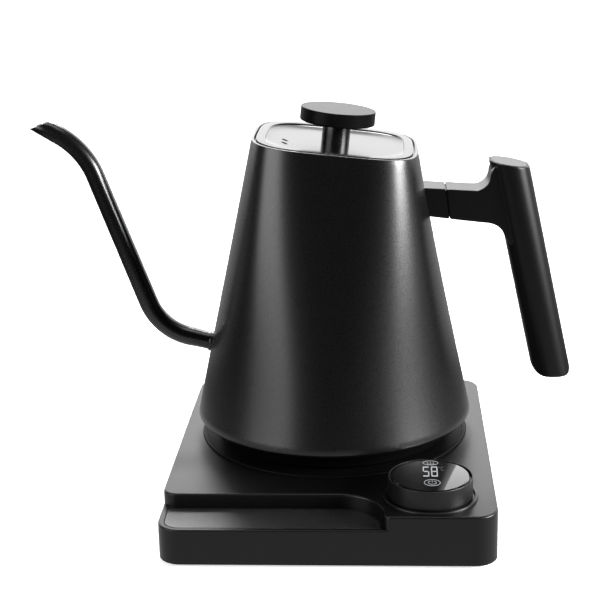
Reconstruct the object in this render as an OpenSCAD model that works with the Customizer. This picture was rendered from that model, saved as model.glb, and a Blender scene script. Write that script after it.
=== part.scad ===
// Electric gooseneck kettle on a stepped base with a round display knob.
// Millimetres. The kettle's turning axis is Z, the table is z = 0, the spout
// points along -X, the handle along +X and the display knob faces -Y.

/* [Base] */
// Width of the base, side to side
base_w = 162; // [156:1:176]
// Distance from the kettle axis to the front face of the base
base_front = 116.3; // [115.5:0.5:126]
// Distance from the kettle axis to the rear face of the base
base_back = 75.5; // [74:0.5:90]
// Radius of the upright corners of the base
base_corner = 11; // [6:1:16]
// Height of the upper deck above the table
base_top = 26.8; // [26.8:0.1:27.2]
// Height of the low front shelf above the table
shelf_top = 19.7; // [18.5:0.1:20.5]
// Radius of the inside curve where the shelf meets the raised block
shelf_curve = 22; // [16:1:24]
// Radius of the round seat under the kettle
seat_r = 70.8; // [68:0.2:71.2]

/* [Display knob] */
// Outer radius of the display knob
knob_r = 20.4; // [20.2:0.1:21]
// Height of the knob rim above the table
knob_top = 37.4; // [37:0.1:38.4]

/* [Kettle] */
// Radius of the round foot of the kettle body
foot_r = 72.8; // [71:0.2:73.4]
// Radius of the rounding where the wall meets the underside
foot_round = 2; // [1.6:0.1:2.6]
// Half width of the rounded square mouth
mouth_a = 42; // [40:0.5:44]
// Height of the middle of the mouth above the table
mouth_z = 184; // [178:1:190]
// Downward tilt of the mouth toward the handle, in degrees
mouth_tilt = 6.4; // [5:0.1:7.5]
// Thickness of the steel wall
wall = 1.2; // [1:0.1:1.4]

/* [Spout] */
// Outside radius of the spout tube at its lower bend
spout_r = 5.1; // [4.8:0.1:5.4]
// Wall thickness of the spout tube
spout_wall = 0.9; // [0.7:0.1:1.1]

/* [Handle] */
// Thickness of the grip, measured in the plane of the handle
grip_t = 19.6; // [18:0.2:20.6]
// Depth of the grip, front to back
grip_d = 25; // [22:0.5:27]
// Depth of the arm, front to back
arm_d = 20; // [18:0.5:21]

/* [Lid] */
// Radius of the lid knob disc
lid_knob_r = 19.2; // [17:0.2:21]
// Thickness of the lid knob disc
lid_knob_h = 7.1; // [6.1:0.2:8.1]
// Radius of the lid knob stem
lid_stem_r = 7.2; // [6.4:0.2:8]

/* [Hidden] */

fn = 96;
slices = 64;
hw = base_w / 2;
shell_wall = 2.4;
ceiling = base_top - shell_wall;
seat_floor = base_top - 0.8;
knob_x = 49.5;
knob_y = -91.8;
tilt = tan(mouth_tilt);
mouth_x = 3.1;
mouth_n = 3.8;
foot_z = 35;
foot_rise = 2.4;
wall_z = foot_z + foot_rise + foot_round;
wall_h = mouth_z - wall_z;
cover_r = 61.8;

// ---- shared shapes -------------------------------------------------------

// A rectangle with four true round corners.
module round_rect(x0, y0, x1, y1, r) {
  union() {
    translate([x0 + r, y0]) square([x1 - x0 - 2 * r, y1 - y0]);
    translate([x0, y0 + r]) square([x1 - x0, y1 - y0 - 2 * r]);
    for (p = [[x0 + r, y0 + r], [x1 - r, y0 + r], [x0 + r, y1 - r], [x1 - r, y1 - r]]) {
      translate(p) circle(r, $fn = fn);
    }
  }
}

// The base outline, shrunk by d on every side.
module base_outline(d) {
  round_rect(-hw + d, -base_front + d, hw - d, base_back - d, base_corner - d);
}

// One layer of the base whose sides lean inward by d between z0 and z1.
module sloped_layer(z0, z1, d0, d1) {
  h = z1 - z0;
  r = base_corner;
  x = hw - r;
  ya = -base_front + r;
  yb = base_back - r;
  union() {
    for (p = [[-x, ya], [x, ya], [-x, yb], [x, yb]]) {
      translate([p[0], p[1], z0]) cylinder(h = h, r1 = r - d0, r2 = r - d1, $fn = fn);
    }
    translate([0, yb, 0]) rotate([90, 0, 0]) linear_extrude(yb - ya)
      polygon([[-hw + d0, z0], [hw - d0, z0], [hw - d1, z1], [-hw + d1, z1]]);
    translate([-x, 0, 0]) rotate([90, 0, 90]) linear_extrude(2 * x)
      polygon([[ya - r + d0, z0], [yb + r - d0, z0], [yb + r - d1, z1], [ya - r + d1, z1]]);
  }
}

// The low shelf area in plan, grown by g toward the upper deck.
module shelf_outline(g) {
  cx = 5.5;
  cy = -112.6;
  r = shelf_curve + g;
  union() {
    translate([-hw - 9, -base_front - 9]) square([hw + 9 + cx, cy + base_front + 9 + r]);
    translate([cx - 1, -base_front - 9]) square([r + 1, cy + base_front + 9]);
    translate([cx, cy]) circle(r, $fn = fn);
  }
}

// The rounded outer corner of the raised block beside the shelf.
module block_corner() {
  r = 3;
  x = 5.5 + shelf_curve;
  difference() {
    translate([x - 0.5, -base_front - 1]) square([r + 0.5, r + 1]);
    translate([x + r, -base_front + r]) circle(r, $fn = fn);
  }
}

// A point on a rounded square of half sizes a, b and squareness n.
function squarish(t, a, b, n) =
  let (c = cos(t), s = sin(t), k = pow(pow(abs(c), n) + pow(abs(s), n), -1 / n))
  [a * k * c, b * k * s];

function squarish_points(a, b, n, count) = [
  for (i = [0 : count - 1]) squarish(i * 360 / count, a, b, n)
];

// ---- base ----------------------------------------------------------------

boss_spots = [[-45, 64, 25], [45, 64, 25], [-71, -35, 25], [71, -35, 25], [-8, -104, 18]];
foot_spots = [[-66, 58], [66, 58], [-64, -98], [64, -98], [0, 0]];

module base_shell() {
  color([0.11, 0.11, 0.11])
  difference() {
    union() {
      difference() {
        union() {
          translate([0, 0, 1.6]) linear_extrude(base_top - 0.9 - 1.6) base_outline(0);
          sloped_layer(base_top - 0.9, base_top - 0.3, 0, 0.3);
          sloped_layer(base_top - 0.3, base_top, 0.3, 0.9);
        }
        translate([0, 0, 0]) linear_extrude(ceiling) base_outline(shell_wall);
      }
      translate([0, 0, 4]) linear_extrude(ceiling - 4 + 0.5)
        intersection() {
          base_outline(1);
          shelf_outline(shell_wall);
        }
      for (p = boss_spots) {
        translate([p[0], p[1], 4]) cylinder(h = p[2] - 4, r = 4, $fn = fn);
      }
    }
    translate([0, 0, shelf_top]) linear_extrude(20) shelf_outline(0);
    translate([0, 0, shelf_top]) linear_extrude(20) block_corner();
    difference() {
      translate([0, 0, 3]) linear_extrude(shelf_top - shell_wall - 3)
        intersection() {
          base_outline(shell_wall);
          shelf_outline(shell_wall + 0.5);
        }
      translate([-8, -104, 4]) cylinder(h = 20, r = 4, $fn = fn);
    }
    translate([0, 0, shelf_top - 1.2]) linear_extrude(5) shelf_recess(0);
    translate([0, 0, seat_floor]) cylinder(h = 5, r = seat_r + 0.2, $fn = fn);
    cylinder(h = 60, r = 13, $fn = fn);
    translate([knob_x, knob_y, 0]) cylinder(h = 60, r = 7.1, $fn = fn);
    translate([0, base_back - 12, 14]) rotate([-90, 0, 0]) cylinder(h = 20, r = 5.1, $fn = fn);
    for (p = boss_spots) {
      translate([p[0], p[1], 3]) cylinder(h = 10, r = 1.25, $fn = fn);
    }
  }
}

// Plan of the shallow recess that holds the shelf panel, shrunk by d.
module shelf_recess(d) {
  cx = 5.5;
  cy = -112.6;
  r = shelf_curve - 1.6 - d;
  x0 = -hw + 3 + d;
  y0 = -base_front + 2.2 + d;
  union() {
    translate([x0, y0]) square([cx - x0, cy - y0 + r]);
    translate([cx - 1, y0]) square([r + 1, cy - y0]);
    intersection() {
      translate([cx, cy]) circle(r, $fn = fn);
      translate([cx - 1, cy - 0.01]) square([40, 40]);
    }
  }
}

module shelf_panel() {
  color([0.2, 0.2, 0.2])
  translate([0, 0, shelf_top - 1.2]) linear_extrude(1.3) shelf_recess(0.25);
}

module seat_plate() {
  color([0.07, 0.07, 0.07])
  difference() {
    union() {
      translate([0, 0, seat_floor]) cylinder(h = 1.0, r = seat_r, $fn = fn);
      translate([0, 0, seat_floor + 1.0]) cylinder(h = 0.5, r1 = seat_r, r2 = seat_r - 0.7, $fn = fn);
    }
    translate([0, 0, seat_floor - 1]) cylinder(h = 5, r = 12.4, $fn = fn);
  }
}

module base_bottom_cover() {
  color([0.09, 0.09, 0.09])
  difference() {
    union() {
      translate([0, 0, 1.2]) linear_extrude(2.8) base_outline(shell_wall + 0.1);
      for (p = [[-50, 26], [50, 26], [-50, 50], [50, 50]]) {
        translate([p[0], p[1], 3.8]) cylinder(h = 2.7, r = 3, $fn = fn);
      }
      translate([knob_x, knob_y, 3.8]) cylinder(h = 6.2, r = 6, $fn = fn);
      translate([0, 0, 3.8]) cylinder(h = 8.2, r = 8, $fn = fn);
    }
    for (p = boss_spots) {
      translate([p[0], p[1], 0]) cylinder(h = 2.8, r = 3.1, $fn = fn);
      translate([p[0], p[1], 0]) cylinder(h = 9, r = 1.5, $fn = fn);
    }
    for (p = foot_spots) {
      translate([p[0], p[1], 0]) cylinder(h = 1.7, r = 7.05, $fn = fn);
    }
    for (i = [0 : 6]) {
      translate([-24 + 8 * i, -60, 0]) cylinder(h = 9, r = 1.5, $fn = fn);
    }
  }
}

module base_feet() {
  color([0.05, 0.05, 0.05])
  for (p = foot_spots) {
    translate([p[0], p[1], 0]) cylinder(h = 1.7, r = 7, $fn = fn);
  }
}

module base_screws() {
  color([0.6, 0.6, 0.6])
  for (p = boss_spots) {
    translate([p[0], p[1], 0]) difference() {
      union() {
        translate([0, 0, 1.3]) cylinder(h = 1.5, r = 2.7, $fn = fn);
        translate([0, 0, 2.7]) cylinder(h = 8, r = 1.2, $fn = fn);
      }
      translate([-2, -0.4, 1]) cube([4, 0.8, 0.8]);
      translate([-0.4, -2, 1]) cube([0.8, 4, 0.8]);
    }
  }
}

module cord_gland() {
  color([0.06, 0.06, 0.06])
  translate([0, 0, 14]) rotate([-90, 0, 0]) difference() {
    union() {
      translate([0, 0, base_back - 6]) cylinder(h = 6, r = 5, $fn = fn);
      translate([0, 0, base_back]) cylinder(h = 1.6, r = 7, $fn = fn);
      translate([0, 0, base_back - 6]) cylinder(h = 3.4, r = 6.4, $fn = fn);
    }
    translate([0, 0, base_back - 10]) cylinder(h = 20, r = 3.2, $fn = fn);
  }
}

module base_connector() {
  color([0.08, 0.08, 0.08])
  difference() {
    union() {
      translate([0, 0, 12]) cylinder(h = 10, r = 9, $fn = fn);
      translate([0, 0, 21.4]) cylinder(h = ceiling - 21.4, r = 17, $fn = fn);
      translate([0, 0, 22]) cylinder(h = 11, r = 12, $fn = fn);
      translate([0, 0, 33]) cylinder(h = 1, r1 = 12, r2 = 10.6, $fn = fn);
    }
    translate([0, 0, 24]) cylinder(h = 20, r = 2.2, $fn = fn);
    translate([0, 0, 32.6]) difference() {
      cylinder(h = 5, r = 7.2, $fn = fn);
      translate([0, 0, -1]) cylinder(h = 7, r = 5.6, $fn = fn);
    }
  }
}

module base_contacts() {
  color([0.78, 0.6, 0.25])
  union() {
    translate([0, 0, 32.6]) difference() {
      cylinder(h = 1.1, r = 7.15, $fn = fn);
      translate([0, 0, -1]) cylinder(h = 4, r = 5.65, $fn = fn);
    }
    translate([0, 0, 24]) difference() {
      cylinder(h = 8.5, r = 2.15, $fn = fn);
      translate([0, 0, 1]) cylinder(h = 9, r = 1.9, $fn = fn);
    }
  }
}

module main_board() {
  color([0.1, 0.3, 0.16])
  difference() {
    translate([-58, 22, 6.5]) cube([116, 33, 1.6]);
    for (p = [[-50, 26], [50, 26], [-50, 50], [50, 50]]) {
      translate([p[0], p[1], 5]) cylinder(h = 5, r = 1.4, $fn = fn);
    }
  }
}

module power_parts() {
  color([0.15, 0.25, 0.55])
  union() {
    translate([-42, 30, 8.1]) cube([19, 15, 12]);
    translate([8, 28, 8.1]) cube([24, 20, 13]);
    translate([-6, 40, 8.1]) cylinder(h = 12, r = 5, $fn = fn);
    translate([42, 40, 8.1]) cylinder(h = 10, r = 4, $fn = fn);
    for (i = [0 : 2]) {
      translate([-56 + 5 * i, 44, 8.1]) cube([4, 8, 7]);
    }
  }
}

module display_board() {
  color([0.1, 0.3, 0.16])
  translate([knob_x, knob_y, 10]) cylinder(h = 1.6, r = 17, $fn = fn);
}

module display_module() {
  color([0.05, 0.05, 0.05])
  translate([knob_x, knob_y, 0]) union() {
    translate([0, 0, 11.6]) cylinder(h = 18.4, r = 7, $fn = fn);
    translate([0, 0, 29]) cylinder(h = 7, r = 17.9, $fn = fn);
  }
}

// The glass is a shallow dome: part of a large ball with its top at glass_peak.
glass_ball = 356;
glass_peak = 37.82;
glass_edge = 18.4;

// The dome's line from the middle out to the edge, raised by extra.
function dome_line(extra) = [
  for (k = [0 : 12])
    let (r = glass_edge * k / 12)
    [r, glass_peak - glass_ball + sqrt(glass_ball * glass_ball - r * r) + extra]
];

function backward(list) = [for (i = [len(list) - 1 : -1 : 0]) list[i]];

module display_glass() {
  color([0.02, 0.02, 0.02])
  translate([knob_x, knob_y, 0]) rotate_extrude($fn = fn)
    polygon(concat([[0, 36], [18.8, 36], [18.8, 36.9]], backward(dome_line(0))));
}

// A flat drawing laid on the domed glass as a thin skin.
module on_glass() {
  translate([knob_x, knob_y, 0]) intersection() {
    translate([0, 0, 36.9]) linear_extrude(1.4) children();
    rotate_extrude($fn = fn) polygon(concat(dome_line(0), backward(dome_line(0.07))));
  }
}

// One seven-segment figure, w wide and h tall, with only the chosen segments.
// Upright strokes are t wide and level strokes are v deep.
module figure(w, h, t, v, on) {
  g = 0.1;
  half = h / 2;
  reach = half - v - 2 * g;
  if (on[0] == 1) translate([g, h - v]) square([w - 2 * g, v]);
  if (on[1] == 1) translate([w - t, half + g]) square([t, reach]);
  if (on[2] == 1) translate([w - t, v + g]) square([t, reach]);
  if (on[3] == 1) translate([g, 0]) square([w - 2 * g, v]);
  if (on[4] == 1) translate([0, v + g]) square([t, reach]);
  if (on[5] == 1) translate([0, half + g]) square([t, reach]);
  if (on[6] == 1) translate([t + g, half - v / 2]) square([w - 2 * t - 2 * g, v]);
}

module display_digits() {
  color([0.95, 0.95, 0.95])
  on_glass() union() {
    translate([-3.55, -2.4]) figure(3.0, 12.3, 0.55, 1.2, [1, 0, 1, 1, 0, 1, 1]);
    translate([0.4, -2.4]) figure(3.15, 12.3, 0.55, 1.2, [1, 1, 1, 1, 1, 1, 1]);
    translate([4.5, 8.9]) oval_ring(0.5, 0.75, 0.25, 0.4);
    translate([5.2, 4.9]) figure(1.5, 4.6, 0.35, 0.7, [1, 0, 0, 1, 1, 1, 0]);
  }
}

// Points of an oval with half sizes a and b.
function oval(a, b) = [for (i = [0 : 47]) [a * cos(7.5 * i), b * sin(7.5 * i)]];

// A thin flat oval ring of half sizes a and b, its line t wide and v deep.
module oval_ring(a, b, t, v) {
  difference() {
    polygon(oval(a, b));
    polygon(oval(a - t, b - v));
  }
}

module display_icons() {
  color([0.95, 0.95, 0.95])
  on_glass() union() {
    translate([0.4, 15]) oval_ring(3.8, 3.2, 0.35, 0.55);
    for (i = [-1 : 1]) {
      translate([0.25 + 1.4 * i, 14]) square([0.3, 2.6]);
    }
    translate([0.4 - 1.9, 12.9]) square([3.8, 0.5]);
    translate([0.6, -9.4]) oval_ring(3.95, 3.7, 0.35, 0.55);
    difference() {
      translate([0.6, -9.4]) oval_ring(2.1, 2.0, 0.35, 0.5);
      translate([0.6 - 0.7, -8.6]) square([1.4, 3]);
    }
    translate([0.45, -9.2]) square([0.3, 2.4]);
  }
}

module knob_collar() {
  color([0.12, 0.12, 0.12])
  translate([knob_x, knob_y, base_top]) difference() {
    union() {
      cylinder(h = 0.7, r = 22.9, $fn = fn);
      translate([0, 0, 0.7]) cylinder(h = 0.5, r1 = 22.9, r2 = 22.4, $fn = fn);
    }
    translate([0, 0, -1]) cylinder(h = 5, r = 21.3, $fn = fn);
  }
}

module control_knob() {
  color([0.13, 0.13, 0.13])
  translate([knob_x, knob_y, 0]) difference() {
    union() {
      translate([0, 0, 27.5]) cylinder(h = knob_top - 27.5 - 0.3, r = knob_r, $fn = fn);
      translate([0, 0, knob_top - 0.3]) cylinder(h = 0.3, r1 = knob_r, r2 = knob_r - 0.2, $fn = fn);
    }
    translate([0, 0, 20]) cylinder(h = 30, r = 18, $fn = fn);
    translate([0, 0, 35.6]) cylinder(h = 10, r = 19.8, $fn = fn);
  }
}

// ---- coupler -------------------------------------------------------------

module kettle_connector() {
  color([0.1, 0.1, 0.1])
  difference() {
    union() {
      translate([0, 0, 28.4]) cylinder(h = 8.8, r = 18.5, $fn = fn);
    }
    translate([0, 0, 20]) cylinder(h = 15, r = 12.7, $fn = fn);
    translate([0, 0, 30]) cylinder(h = 30, r = 1.5, $fn = fn);
  }
}

module connector_pin() {
  color([0.78, 0.6, 0.25])
  union() {
    translate([0, 0, 27.5]) cylinder(h = 9.7, r = 1.45, $fn = fn);
    translate([0, 0, 26.9]) cylinder(h = 0.6, r1 = 0.9, r2 = 1.45, $fn = fn);
  }
}

// ---- kettle body ---------------------------------------------------------

// Wall shape as a function of u, 0 at the foot rounding and 1 at the mouth.
function wall_a(u) = foot_r + (mouth_a - foot_r) * u - 1.72 * u * (1 - u)
  + 0.75 * u * (1 - u) * (1 - 2 * u);
function wall_x(u) = mouth_x * u - 3.1 * u * (1 - u);
function wall_n(u) = 2 + (mouth_n - 2) * u * u;
function wall_b(u) = wall_a(u) * (1 + 0.045 * u * u);

function wall_ring(u, inset) = [
  for (i = [0 : slices - 1])
    let (p = squarish(i * 360 / slices, wall_a(u) - inset, wall_b(u) - inset, wall_n(u)))
    [p[0] + wall_x(u), p[1], wall_z + wall_h * u - tilt * pow(u, 2.8) * p[0]]
];

// A ring near the mouth, h above the slanted mouth plane.
function mouth_ring(inset, h) = [
  for (i = [0 : slices - 1])
    let (p = squarish(i * 360 / slices, wall_a(1) - inset, wall_b(1) - inset, mouth_n))
    [p[0] + mouth_x, p[1], mouth_z + h - tilt * p[0]]
];

function round_ring(r, z) = [
  for (i = [0 : slices - 1]) [r * cos(i * 360 / slices), r * sin(i * 360 / slices), z]
];

outer_steps = [0, 0.1, 0.25, 0.4, 0.52, 0.64, 0.74, 0.84, 0.92, 0.97];
inner_steps = [0.93, 0.84, 0.72, 0.55, 0.35, 0.15, 0];

outer_rings = concat(
  [round_ring(60, foot_z), round_ring(62, foot_z)],
  [for (a = [15, 40, 65])
    round_ring(foot_r - foot_round * (1 - sin(a)), wall_z - foot_round * cos(a))],
  [for (u = outer_steps) wall_ring(u, 0)],
  [mouth_ring(0, -0.5)]
);

inner_rings = concat(
  [mouth_ring(0.45, 0), mouth_ring(1.4, 0), mouth_ring(1.4, -2.4)],
  [mouth_ring(4.6, -2.4), mouth_ring(4.6, -3.2), mouth_ring(1.5, -4.6)],
  [for (u = inner_steps) wall_ring(u, wall)],
  [for (a = [65, 40, 15])
    round_ring(foot_r - foot_round + (foot_round - wall) * sin(a), wall_z - (foot_round - wall) * cos(a))],
  [round_ring(61.8, foot_z + wall), round_ring(60, foot_z + wall)]
);

// Side faces that join ring k to ring k + 1 of a list of equal rings.
function band(k, next, count) = [
  for (i = [0 : count - 1], s = [0, 1])
    let (j = (i + 1) % count, a = k * count, b = next * count)
    s == 0 ? [a + i, b + i, b + j] : [a + i, b + j, a + j]
];

function flatten(list) = [for (part = list) for (item = part) item];

module kettle_skin() {
  rings = concat(outer_rings, inner_rings);
  count = len(rings);
  polyhedron(
    points = flatten(rings),
    faces = flatten([for (k = [0 : count - 1]) band(k, (k + 1) % count, slices)]),
    convexity = 8
  );
}

// The filled outside shape of the wall beside the handle and the spout.
module kettle_outside() {
  rings = [for (u = outer_steps) wall_ring(u, 0)];
  count = len(rings);
  polyhedron(
    points = flatten(rings),
    faces = concat(
      flatten([for (k = [0 : count - 2]) band(k, k + 1, slices)]),
      [[for (i = [0 : slices - 1]) i]],
      [for (i = [1 : slices - 2]) let (b = (count - 1) * slices) [b, b + i + 1, b + i]]
    ),
    convexity = 4
  );
}

module kettle_body() {
  color([0.1, 0.1, 0.1])
  difference() {
    kettle_skin();
    along(spout_foot, spout_angle_1) cylinder(h = 12, r = 4.82, $fn = fn);
  }
}

module bottom_plate() {
  color([0.75, 0.75, 0.75])
  difference() {
    union() {
      translate([0, 0, 41]) cylinder(h = 1.2, r = 66.2, $fn = fn);
      translate([0, 0, 37.6]) difference() {
        cylinder(h = 4.6, r = 66.2, $fn = fn);
        translate([0, 0, -1]) cylinder(h = 60, r = 65, $fn = fn);
      }
    }
    translate([22, 18, 30]) cylinder(h = 30, r = 2.65, $fn = fn);
  }
}

screw_spots = [for (a = [30, 150, 270]) [52.5 * cos(a), 52.5 * sin(a)]];

module heat_spreader() {
  color([0.7, 0.7, 0.72])
  difference() {
    union() {
      translate([0, 0, 38]) cylinder(h = 3, r = 58, $fn = fn);
      for (p = screw_spots) {
        translate([p[0], p[1], 30.4]) cylinder(h = 8, r = 4, $fn = fn);
      }
    }
    translate([22, 18, 30]) cylinder(h = 30, r = 2.65, $fn = fn);
    for (p = screw_spots) {
      translate([p[0], p[1], 30]) cylinder(h = 8, r = 1.25, $fn = fn);
    }
  }
}

module heating_element() {
  color([0.55, 0.55, 0.57])
  translate([0, 0, 34.7]) rotate([0, 0, 15]) union() {
    rotate_extrude(angle = 330, $fn = fn) translate([40, 0]) circle(3.3, $fn = fn);
    translate([40, -8, 0]) rotate([-90, 0, 0]) cylinder(h = 8, r = 1.6, $fn = fn);
    rotate([0, 0, -30]) translate([40, 0, 0]) rotate([-90, 0, 0]) cylinder(h = 8, r = 1.6, $fn = fn);
  }
}

module temperature_sensor() {
  color([0.8, 0.8, 0.8])
  translate([22, 18, 0]) union() {
    translate([0, 0, 35.5]) cylinder(h = 2.5, r = 4.5, $fn = fn);
    translate([0, 0, 37]) cylinder(h = 15, r = 2.6, $fn = fn);
    translate([0, 0, 52]) cylinder(h = 1.2, r1 = 2.6, r2 = 1.4, $fn = fn);
  }
}

module thermal_cutout() {
  color([0.85, 0.82, 0.75])
  union() {
    translate([-30, -14, 34]) cube([12, 9, 4]);
    translate([-24, -9.5, 32.6]) cylinder(h = 2, r = 3, $fn = fn);
  }
}

module bottom_cover() {
  color([0.07, 0.07, 0.07])
  difference() {
    union() {
      translate([0, 0, 28.8]) cylinder(h = 5.2, r = cover_r, $fn = fn);
      translate([0, 0, 28.2]) cylinder(h = 0.6, r1 = cover_r - 0.6, r2 = cover_r, $fn = fn);
    }
    translate([0, 0, 30.4]) cylinder(h = 9, r = cover_r - 2, $fn = fn);
    translate([0, 0, 20]) cylinder(h = 20, r = 18.6, $fn = fn);
    for (p = screw_spots) {
      translate([p[0], p[1], 20]) cylinder(h = 9.6, r = 2.8, $fn = fn);
      translate([p[0], p[1], 20]) cylinder(h = 20, r = 1.5, $fn = fn);
    }
  }
}

module bottom_screws() {
  color([0.6, 0.6, 0.6])
  for (p = screw_spots) {
    translate([p[0], p[1], 0]) difference() {
      union() {
        translate([0, 0, 28.5]) cylinder(h = 1.1, r = 2.5, $fn = fn);
        translate([0, 0, 29.5]) cylinder(h = 7, r = 1.2, $fn = fn);
      }
      translate([-1.8, -0.35, 28]) cube([3.6, 0.7, 1]);
    }
  }
}

module bottom_seal() {
  color([0.05, 0.05, 0.05])
  difference() {
    translate([0, 0, 34]) cylinder(h = 1, r = cover_r, $fn = fn);
    translate([0, 0, 30]) cylinder(h = 10, r = cover_r - 2, $fn = fn);
  }
}

// ---- spout ---------------------------------------------------------------

spout_corner_1 = [-92.7, 82.5];
spout_corner_2 = [-127.7, 180.8];
spout_bend_1 = 30;
spout_bend_2 = 41;
spout_angle_1 = 166.3;
spout_angle_2 = 90 + atan((spout_corner_1[0] - spout_corner_2[0]) / (spout_corner_2[1] - spout_corner_1[1]));
spout_angle_3 = 150.2;
turn_1 = spout_angle_1 - spout_angle_2;
turn_2 = spout_angle_3 - spout_angle_2;
reach_1 = spout_bend_1 * tan(turn_1 / 2);
reach_2 = spout_bend_2 * tan(turn_2 / 2);

function go(p, a, d) = [p[0] + d * cos(a), p[1] + d * sin(a)];

bend_1_in = go(spout_corner_1, spout_angle_1, -reach_1);
bend_1_out = go(spout_corner_1, spout_angle_2, reach_1);
bend_2_in = go(spout_corner_2, spout_angle_2, -reach_2);
bend_2_out = go(spout_corner_2, spout_angle_3, reach_2);
spout_foot = go(bend_1_in, spout_angle_1, -15.6);
centre_1 = go(bend_1_in, spout_angle_1 - 90, spout_bend_1);
centre_2 = go(bend_2_in, spout_angle_2 + 90, spout_bend_2);
long_run = sqrt(pow(bend_2_in[0] - bend_1_out[0], 2) + pow(bend_2_in[1] - bend_1_out[1], 2));

// Places a shape that grows along +Z so that it grows along angle a in the XZ plane.
module along(p, a) {
  translate([p[0], 0, p[1]]) rotate([0, 90 - a, 0]) children();
}

// A tube bend around centre c in the XZ plane, from angle a0 to a1.
module bend(c, radius, r, a0, a1) {
  translate([c[0], 0, c[1]]) rotate([90, 0, 0]) rotate([0, 0, a0])
    rotate_extrude(angle = a1 - a0, $fn = fn) translate([radius, 0]) circle(r, $fn = fn);
}

// A ball that covers the joint between two lengths of tube.
module knuckle(p, r) {
  translate([p[0], 0, p[1]]) sphere(r + 0.04, $fn = fn);
}

// The spout path as a solid, made thinner by d all round.
module spout_path(d, ends) {
  root_r = spout_r - 0.3 - d;
  r1 = spout_r - d;
  r2 = spout_r - 0.2 - d;
  tip_r = spout_r - 0.7 - d;
  union() {
    along(spout_foot, spout_angle_1) union() {
      translate([0, 0, -ends]) cylinder(h = 9 + ends, r = root_r, $fn = fn);
      translate([0, 0, 9]) cylinder(h = 6.6, r1 = root_r, r2 = r1, $fn = fn);
    }
    knuckle(bend_1_in, r1);
    bend(centre_1, spout_bend_1, r1, spout_angle_2 + 90, spout_angle_1 + 90);
    knuckle(bend_1_out, r1);
    along(bend_1_out, spout_angle_2) cylinder(h = long_run, r1 = r1, r2 = r2, $fn = fn);
    knuckle(bend_2_in, r2);
    bend(centre_2, spout_bend_2, r2, spout_angle_2 - 90, spout_angle_3 - 90);
    knuckle(bend_2_out, r2);
    along(bend_2_out, spout_angle_3) union() {
      cylinder(h = 16, r1 = r2, r2 = tip_r, $fn = fn);
      translate([0, 0, 16]) cylinder(h = 8, r = tip_r, $fn = fn);
    }
  }
}

module spout() {
  color([0.09, 0.09, 0.09])
  difference() {
    spout_path(0, 0);
    spout_path(spout_wall, 3);
    translate([-149.4, 0, 193.95]) rotate([0, -19.7, 0]) translate([-20, -15, 0]) cube([40, 30, 30]);
  }
}

module spout_collar() {
  color([0.06, 0.06, 0.06])
  difference() {
    along(spout_foot, spout_angle_1) cylinder(h = 4.5, r = 5.35, $fn = fn);
    along(go(spout_foot, spout_angle_1, -3), spout_angle_1) cylinder(h = 20, r = 4.82, $fn = fn);
    kettle_outside();
  }
}

// ---- handle --------------------------------------------------------------

grip_lean = 12.1;
grip_mid = [105.2, 108.6];
grip_top_l = [81.9, 173.4];
grip_top_r = [102.8, 169.8];

function arc(cx, cy, r, a0, a1, n) = [
  for (i = [0 : n]) [cx + r * cos(a0 + (a1 - a0) * i / n), cy + r * sin(a0 + (a1 - a0) * i / n)]
];

// Extrudes a profile drawn in the XZ plane, centred on y = 0.
module plate_xz(d) {
  translate([0, d / 2, 0]) rotate([90, 0, 0]) linear_extrude(d) children();
}

module arm_profile(x0, x1) {
  top = arm_top(x0);
  polygon([[x0, top], [x1, arm_top(x1)], [x1 + 1.9, arm_bottom(x1 + 1.9)],
    [x0 + 1.9, arm_bottom(x0 + 1.9)]]);
}

function arm_top(x) = 160.2 - 0.062 * (x - 49);
function arm_bottom(x) = 145.1 - 0.121 * (x - 51.2);

module handle_bracket() {
  color([0.08, 0.08, 0.08])
  difference() {
    plate_xz(arm_d - 0.6) arm_profile(40, 59.2);
    kettle_outside();
    core_bar(0.05);
    translate([screw_x[0], 0, 140]) cylinder(h = 16.2, r = 1.25, $fn = fn);
  }
}

// Stadium shaped bar along the grip axis.
module grip_bar(t, d, from, to) {
  r = t / 2;
  s = d / 2 - r;
  along(go(grip_mid, 90 + grip_lean, from), 90 + grip_lean) linear_extrude(to - from) union() {
    for (k = [-1, 1]) {
      translate([0, k * s]) circle(r, $fn = fn);
    }
    square([t, 2 * s], center = true);
  }
}

// Side view of the foot of the grip: level end, large inner and small outer corner.
module grip_foot_profile() {
  z = 58.6;
  r1 = 8;
  r2 = 3.4;
  lean = tan(grip_lean);
  reach = grip_t / 2 / cos(grip_lean);
  mid = grip_mid[0] + (grip_mid[1] - z) * lean;
  left = mid - reach;
  right = mid + reach;
  k1 = (1 - sin(grip_lean)) / cos(grip_lean);
  k2 = (1 + sin(grip_lean)) / cos(grip_lean);
  high = 140;
  polygon(concat(
    arc(left + r1 * k1, z + r1, r1, 180 + grip_lean, 270, 10),
    arc(right - r2 * k2, z + r2, r2, 270, 360 + grip_lean, 10),
    [[right - high * lean + 1, z + high], [left - high * lean - 1, z + high]]
  ));
}

module handle_grip() {
  color([0.08, 0.08, 0.08])
  difference() {
    union() {
      intersection() {
        grip_bar(grip_t, grip_d, -60, 75);
        plate_xz(grip_d + 10) grip_foot_profile();
      }
      plate_xz(arm_d) polygon(concat(
        [[59.4, arm_top(59.4)]],
        [[74.2, 158.6]],
        arc(74.2, 166.2, 7.6, 276, 360, 8),
        [[92, 166], [100, 140], [95, 128]],
        arc(80.6, 132.5, 9, 12.4, 83.1, 7),
        [[61.3, arm_bottom(61.3)]]
      ));
    }
    top_slab(0, 40);
    intersection() {
      grip_bar(grip_t - 2.0, grip_d - 2.0, 20, 90);
      top_slab(-1.3, 3);
    }
    core_bar(0.05);
    grip_bar(8.2, 8.3, -41, 21);
    translate([screw_x[1], 0, 146.4]) cylinder(h = 9.8, r = 1.25, $fn = fn);
  }
}

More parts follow.
